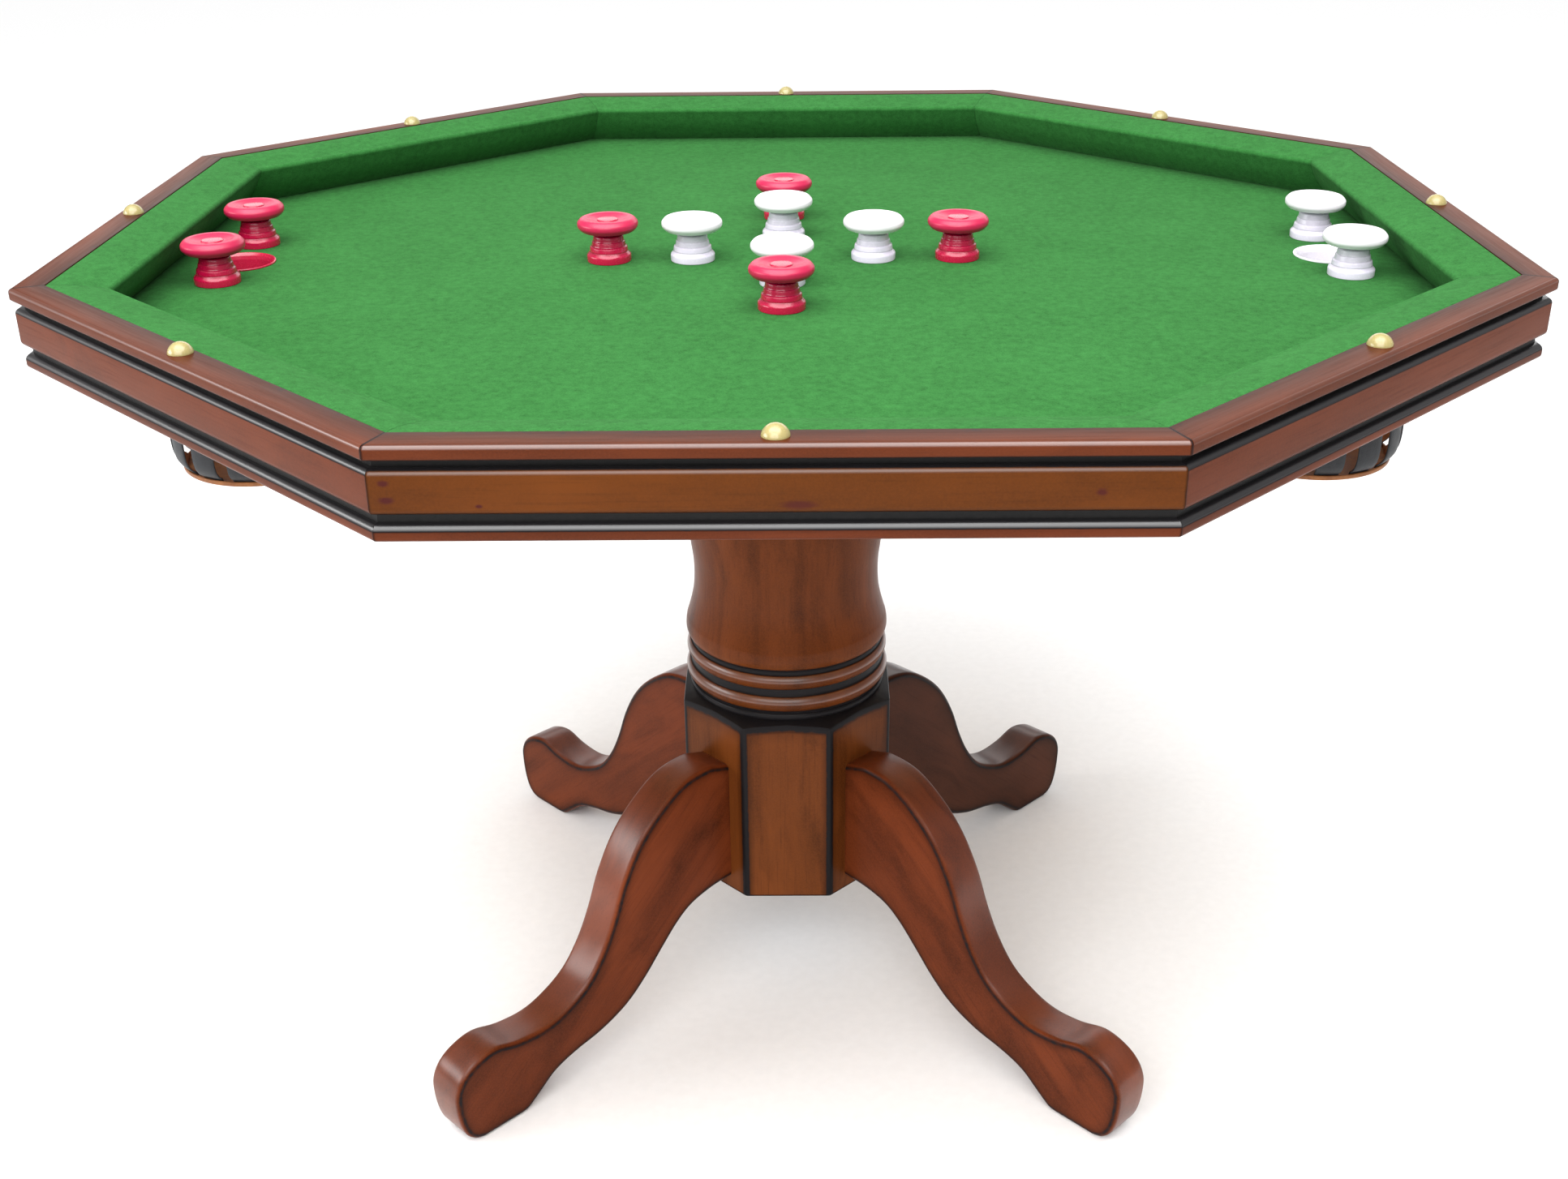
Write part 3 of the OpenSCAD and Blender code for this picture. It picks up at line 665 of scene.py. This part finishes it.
# ---------------------------------------------------------------- pedestal
def build_column(m):
    """The turned column with its rings, belly and shoulder."""
    h = HUB_Z1 / MM
    head = PLATE_Z0 / MM - 52
    body = h + 54
    corners = [
        (40, h - 27, 0, 1), (40, h, 0, 1), (96.2, h, 0, 1), (96.9, h + 2.4, 0.8, 1), (96.9, h + 4.6, 1.0, 1),
        (95.9, h + 6.6, 0.6, 1)]
    profile = rounded([(r * MM, z * MM, f * MM, d) for r, z, f, d in corners], 4)
    for centre, z, radius in ((90.4, h + 17.5, 9.8), (90.0, h + 40.2, 9.2)):
        for i in range(17):
            a = math.radians(-55 + 113 * i / 16)
            dark = 1.0 if i in (0, 16) else (0.5 if i in (1, 15) else (-0.8 if i > 8 else 0.05))
            profile.append(((centre + radius * math.cos(a)) * MM, (z + radius * math.sin(a)) * MM, dark))
        if centre > 90.2:
            profile += [(95.2 * MM, (z + 9.6) * MM, 1), (95.2 * MM, (z + 12.8) * MM, 1)]
    cove = ((94.8, -5.4), (94.5, -4.4), (94.5, -3.0), (95.0, -2.0), (95.6, -1.2), (95.8, -0.4))
    profile += [(r * MM, (body + z) * MM, 1) for r, z in cove]
    rise = [(96.2, 0), (98.2, 2.3), (99.5, 8), (98.7, 16), (96.9, 22), (93.9, 33), (91.4, 45), (90.3, 56),
            (90, 68), (90.5, 80), (92, 92), (95.5, 116), (101, 145), (105.5, 175), (107, 203)]
    shaft = smooth_curve([(r, body + z) for r, z in rise] + [(101, head - 8), (96, head)], 5)
    profile += [(p.x * MM, p.y * MM, 0.9 if i == 0 else 0.0) for i, p in enumerate(shaft)]
    for i in range(13):
        a = math.radians(-90 + 180 * i / 12)
        dark = 1.0 if i in (0, 12) else 0.0
        profile.append(((102 + 8 * math.cos(a)) * MM, (head + 14 + 8 * math.sin(a)) * MM, dark))
    neck = ((96, 24, 1), (96, 30, 1), (104, 34, 1), (104, 36, 0), (104, 52, 0), (40, 52, 0))
    profile += [(r * MM, (head + z) * MM, dark) for r, z, dark in neck]
    mesh = lathe("turned_column", profile, 160, sharp=40, closed=False)
    piece("turned_column", mesh, m["column"], ["column"])


def hub_ring(apothem, radius, dark_width):
    """One ring of (x, y, dark) points round an octagon with eased corners."""
    made = []
    half = apothem * TAN
    flat = half - radius * TAN
    for k in range(8):
        a = math.radians(45 * k)
        out, along = Vector((math.cos(a), math.sin(a))), Vector((-math.sin(a), math.cos(a)))
        w = dark_width / flat
        for t, dark in ((-1, 1), (-1 + 0.5 * w, 0.8), (-1 + 1.1 * w, 0.2), (-1 + 3.2 * w, 0.0), (0.0, 0),
                        (1 - 3.2 * w, 0.0), (1 - 1.1 * w, 0.2), (1 - 0.5 * w, 0.8), (1, 1)):
            p = out * apothem + along * flat * t
            made.append((p.x, p.y, dark))
        centre = out * (apothem - radius) + along * flat
        for i in (1, 2):
            b = a + math.radians(45 * i / 3)
            p = centre + Vector((math.cos(b), math.sin(b))) * radius
            made.append((p.x, p.y, 1))
    return made


def build_hub(m):
    """The octagonal hub with black edges, a conical top and a hollow for the leg bolts."""
    ring = hub_ring(HUB_A, 4 * MM, 2.6 * MM)

    def roof(r):
        return HUB_Z1 - 0.476 * max(0.0, r - HUB_BRIM)

    rows = []
    scale_in = HUB_CAVITY / HUB_A
    rows.append([(x * 0.3, y * 0.3, HUB_CEILING, 0) for x, y, d in ring])
    rows.append([(x * scale_in, y * scale_in, HUB_CEILING, 0) for x, y, d in ring])
    rows.append([(x * scale_in, y * scale_in, HUB_Z0, 0) for x, y, d in ring])
    rows.append([(x * 0.985, y * 0.985, HUB_Z0, 0.5) for x, y, d in ring])
    rows.append([(x, y, HUB_Z0 + 1.2 * MM, max(d, 0.75)) for x, y, d in ring])
    rows.append([(x, y, HUB_Z0 + 3 * MM, d) for x, y, d in ring])
    for z in (160, 200, 240, 275):
        rows.append([(x, y, z * MM, d) for x, y, d in ring])
    for drop, dark in ((20, 0.0), (9, 0.12), (6.5, 0.35), (4.5, 0.8), (1.0, 1.0)):
        rows.append([(x, y, roof(math.hypot(x, y)) - drop * MM, max(d, dark)) for x, y, d in ring])
    for s in (0.994, 0.98, 0.96):
        rows.append([(x * s, y * s, roof(math.hypot(x, y) * s) - 0.1 * MM, 1) for x, y, d in ring])
    brim = [HUB_BRIM / math.hypot(x, y) * 0.99 for x, y, d in ring]
    rows.append([(x * k, y * k, HUB_Z1 - 0.05 * MM, 1) for (x, y, d), k in zip(ring, brim)])
    rows.append([(x * 0.42, y * 0.42, HUB_Z1 - 0.05 * MM, 1) for x, y, d in ring])
    piece("octagonal_hub", skin("octagonal_hub", rows, sharp=28), m["hub"], ["hub"])


# The leg's side outline in millimetres, (outwards, up): from the hub over the top to the foot, and back
LEG_TOP = [(96, 264.5), (112, 270), (130, 274), (162.5, 269.5), (195, 250), (220.5, 225), (240.5, 192),
           (255, 157), (270, 128.5), (290, 104), (315.5, 89), (341, 82), (371, 84), (398, 91), (420, 87),
           (436, 77), (444.5, 62), (445, 44), (442, 25), (436.5, 11), (428.5, 3), (419, 0)]
LEG_UNDER = [(376, 0), (368, 1.4), (360, 6.5), (350, 14), (333, 26), (309, 34), (275, 41), (243, 54),
             (218, 73), (195, 96), (174, 116), (155, 128), (132, 134), (112, 136), (96, 136.5)]


def inset_ring(outline, amount):
    """The closed outline moved inwards, with any stretch that would fold over pulled together."""
    count = len(outline)
    moved = []
    for i in range(count):
        d = (outline[(i + 1) % count] - outline[i - 1]).normalized()
        moved.append(outline[i] + Vector((d.y, -d.x)) * amount)
    for _ in range(60):
        folded = False
        for i in range(count):
            j = (i + 1) % count
            if (moved[j] - moved[i]).dot(outline[j] - outline[i]) < 0:
                moved[i] = moved[j] = (moved[i] + moved[j]) / 2
                folded = True
        if not folded:
            break
    return moved


def leg_mesh(name):
    """A sawn S-shaped leg with its edges rounded over. X runs outwards, Y across, Z up."""
    import bmesh
    outline = [p * MM for p in smooth_curve(LEG_TOP, 5) + smooth_curve(LEG_UNDER, 5)]
    radius, half = 5 * MM, LEG_T / 2
    edge = [(0, 0.4), (12, 0.66), (26, 0.45), (42, 0.1), (58, -0.1), (74, -0.4), (90, -0.5)]
    rings = [(radius + 10.0 * MM, half, 0.0), (radius + 4.0 * MM, half, 0.08), (radius + 1.0 * MM, half, 0.2)]
    for angle, dark in edge:
        a = math.radians(angle)
        rings.append((radius * (1 - math.sin(a)), half - radius * (1 - math.cos(a)), dark))
    rows = []
    for inset, y, dark in rings:
        rows.append([(p.x, y, max(0.0, p.y), dark) for p in inset_ring(outline, inset)])
    rows.append([(p.x, half * 0.35, p.y, -0.5) for p in outline])
    rows += [[(x, -y, z, dark) for x, y, z, dark in row] for row in reversed(rows)]
    mesh = skin(name, rows, ends=False, sharp=40)
    bm = bmesh.new()
    bm.from_mesh(mesh)
    for sign in (1, -1):
        rim = [e for e in bm.edges if e.is_boundary and e.verts[0].co.y * sign > 0]
        bmesh.ops.triangle_fill(bm, use_beauty=True, use_dissolve=False, edges=rim)
    bm.to_mesh(mesh)
    bm.free()
    return finish_mesh(mesh, 40)


def build_legs(m):
    """The four legs, turned to the diagonals; the back right one in a darker copy of the leg wood, as painted
    shade.
    """
    for name, angle in LEGS.items():
        # Painted shade: the back right leg takes the darker copy of the leg wood, for the shadow that lies
        # over it
        wood_material = m["leg_dark"] if name == "back_right" else m["leg"]
        piece("curved_leg_" + name, leg_mesh("curved_leg_" + name), wood_material, ["leg_" + name],
              Matrix.Rotation(math.radians(angle), 4, "Z"))


# ---------------------------------------------------------------- CAD nodes that stay, and the materials
def dress(nodes, material, bevel=0.0):
    """Gives CAD nodes a material and, where asked, slightly eased edges."""
    for name in nodes:
        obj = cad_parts[name]
        obj.data.materials.clear()
        obj.data.materials.append(material)
        if bevel:
            mod = obj.modifiers.new("eased edges", "BEVEL")
            mod.width = bevel
            mod.segments = 2
            mod.limit_method = "ANGLE"
            mod.angle_limit = math.radians(40)
            mod.harden_normals = False


def build_materials():
    """Every material by its part's name."""
    m = {}
    reach = RAIL_OUT * TAN
    knots = [((reach - 11 * MM, APRON_OUT, APRON_TOP - 9 * MM), (4.0 * MM, 9 * MM, 2.2 * MM), 0.85),
             ((reach - 12 * MM, APRON_OUT, APRON_TOP - 20 * MM), (5.0 * MM, 9 * MM, 2.2 * MM), 0.85),
             ((reach - 68 * MM, APRON_OUT, APRON_TOP - 24 * MM), (2.6 * MM, 9 * MM, 1.4 * MM), 0.9),
             ((-14 * MM, APRON_OUT, APRON_TOP - 24 * MM), (12 * MM, 9 * MM, 3.0 * MM), 0.7),
             ((-197 * MM, APRON_OUT, APRON_TOP - 17 * MM), (4 * MM, 9 * MM, 2.8 * MM), 0.8)]
    m["rail"] = wood("rail_walnut", (0.104, 0.023, 0.007), contrast=1.1, band_gloss=1.0)
    m["apron_front"] = wood("front_apron_walnut", (0.098, 0.026, 0.003), contrast=1.1, band_gloss=1.0,
                           knots=knots)
    m["column"] = wood("column_walnut", (0.116, 0.029, 0.006), turn=(0, 90, 0), figure=0.6, contrast=1.7)
    m["hub"] = wood("hub_walnut", (0.126, 0.034, 0.007), turn=(0, 90, 0), figure=0.6, contrast=1.5)
    m["leg"] = wood("leg_walnut", (0.132, 0.028, 0.008), turn=(0, -40, 0), contrast=1.6)
    # Painted shade: a darker, greyer copy of the leg wood, for the shadow over the back right leg
    m["leg_dark"] = wood("leg_walnut_painted_shade", (0.072, 0.022, 0.010), turn=(0, -40, 0), contrast=1.2)
    m["lacquer"] = black_lacquer()
    m["ply"] = raw_wood("birch_ply", (0, 0, 0), ply=True)
    m["batten"] = raw_wood("batten_pine", (0, 0, -45))
    m["batten_b"] = raw_wood("batten_pine_b", (0, 0, 45))
    m["felt"] = felt("bed_wool", (0.028, 0.136, 0.031))
    m["cushion"] = felt("cushion_wool", (0.029, 0.140, 0.032))
    m["ivory"] = moulded("ivory_plastic", (0.36, 0.30, 0.12), 0.2, 0.5, 0.1, (0.2, 0.14, 0.05))
    m["post_red"] = moulded("red_post", (0.45, 0.002, 0.044), 0.2, 0.35, dark=(0.07, 0.003, 0.01))
    m["ring_red"] = moulded("red_ring", (0.48, 0.009, 0.062), 0.35, 0.12, dark=(0.10, 0.004, 0.016))
    m["post_white"] = moulded("white_post", (0.70, 0.64, 0.77), 0.2, 0.35, dark=(0.22, 0.21, 0.26))
    m["ring_white"] = moulded("white_ring", (0.84, 0.80, 0.85), 0.3, 0.2, dark=(0.30, 0.29, 0.34))
    m["cup_red"] = moulded("red_cup", (0.46, 0.014, 0.05), 0.2, 0.5)
    m["cup_white"] = moulded("white_cup", (0.80, 0.77, 0.84), 0.2, 0.5)
    m["strap_out"] = leather("black_leather", (0.009, 0.010, 0.012), (0.024, 0.026, 0.030), 0.45)
    m["strap_in"] = leather("tan_flesh_side", (0.16, 0.05, 0.015), (0.30, 0.11, 0.035), 0.6)
    m["dish"] = leather("tan_leather", (0.17, 0.058, 0.018), (0.32, 0.13, 0.042), 0.42)
    m["steel"] = steel()
    return m


def dress_cad(m):
    """Finishes for the CAD nodes that stay: grooves, boards, underframe and fastenings."""
    dress(["upper_reveal", "lower_reveal", "basket_collar_left", "basket_collar_right"], m["lacquer"])
    dress(["bed_board", "rail_cores"], m["ply"])
    dress(["batten_lower"], m["batten"], 1.5 * MM)
    dress(["batten_upper"], m["batten_b"], 1.5 * MM)
    dress(["top_plate"], m["ply"], 1.5 * MM)
    dress(["rail_bolts", "bumper_studs", "bumper_nuts", "collar_screws", "batten_screws", "plate_screws",
           "leg_bolts", "leg_nuts"], m["steel"])


# ---------------------------------------------------------------- studio
def build_floor():
    """The pale studio floor."""
    mesh = bpy.data.meshes.new("studio_floor")
    reach = 60.0
    mesh.from_pydata([(-reach, -reach, 0), (reach, -reach, 0), (reach, reach, 0), (-reach, reach, 0)], [],
                     [(0, 1, 2, 3)])
    obj = bpy.data.objects.new("studio_floor", mesh)
    bpy.context.scene.collection.objects.link(obj)
    s = Shader("pale_floor", Roughness=0.9, Specular_IOR_Level=0.1)
    grain = s.noise(s.place(), 90.0, 3.0)
    s.set("Base Color", s.ramp(grain, [(0.3, (0.85, 0.85, 0.85)), (0.7, (0.88, 0.88, 0.88))]))
    mesh.materials.append(s.material)


def aim(obj, place, target):
    """Places a light so that it shines at its target."""
    obj.location = place
    obj.rotation_euler = (Vector(target) - Vector(place)).to_track_quat("-Z", "Y").to_euler()
    bpy.context.scene.collection.objects.link(obj)


def area_light(name, place, target, size, radiance):
    """A rectangular softbox of a given size and radiance."""
    light = bpy.data.lights.new(name, "AREA")
    light.shape = "RECTANGLE"
    light.size, light.size_y = size
    light.energy = radiance * size[0] * size[1] * math.pi
    aim(bpy.data.objects.new(name, light), place, target)


def build_studio():
    """Floor, even surroundings, a broad soft sun and four softboxes."""
    build_floor()
    world = bpy.data.worlds.new("studio")
    world.use_nodes = True
    world.node_tree.nodes["Background"].inputs[0].default_value = (1.0, 1.0, 1.0, 1)
    world.node_tree.nodes["Background"].inputs[1].default_value = 0.36
    bpy.context.scene.world = world
    sky = bpy.data.lights.new("sky", "SUN")
    sky.energy = 2.5
    sky.angle = math.radians(85)
    aim(bpy.data.objects.new("sky", sky), (-0.2, -1.0, 4.0), (0, 0, 0))
    area_light("overhead", (-0.2, -0.9, 3.1), (-0.1, -0.2, 0.8), (3.4, 1.7), 4.0)
    area_light("front_softbox", (-0.5, -3.4, 2.7), (0, -0.3, 0.7), (4.0, 2.6), 3.4)
    area_light("left_panel", (-3.6, -0.6, 1.6), (0, 0, 0.4), (2.2, 1.1), 7.0)
    area_light("back_panel", (0.4, 4.4, 2.3), (0, 0, 0.7), (6.4, 1.8), 1.4)
    bpy.context.scene.view_settings.view_transform = "Standard"


def build_camera():
    """The still camera, looking down at the front side."""
    yaw, pitch, roll = (math.radians(a) for a in (-0.618, 25.256, -0.575))
    ahead = Vector((math.sin(yaw) * math.cos(pitch), math.cos(yaw) * math.cos(pitch), -math.sin(pitch)))
    level = Vector((math.cos(yaw), -math.sin(yaw), 0))
    above = level.cross(ahead)
    right = level * math.cos(roll) + above * math.sin(roll)
    up = above * math.cos(roll) - level * math.sin(roll)
    turn = Matrix((right, up, -ahead)).transposed().to_4x4()
    data = bpy.data.cameras.new("camera")
    data.lens = 41.18
    data.sensor_width = 36
    obj = bpy.data.objects.new("camera", data)
    bpy.context.scene.collection.objects.link(obj)
    obj.matrix_world = Matrix.Translation((0.0151, -1.6032, 1.1724)) @ turn
    bpy.context.scene.camera = obj


def main():
    """Builds the whole scene."""
    m = build_materials()
    build_camera()
    build_studio()
    dress_cad(m)
    build_rail(m)
    build_cushions(m)
    build_cloth(m)
    build_dots(m)
    build_bumpers(m)
    build_cups(m)
    build_baskets(m)
    build_column(m)
    build_hub(m)
    build_legs(m)


main()
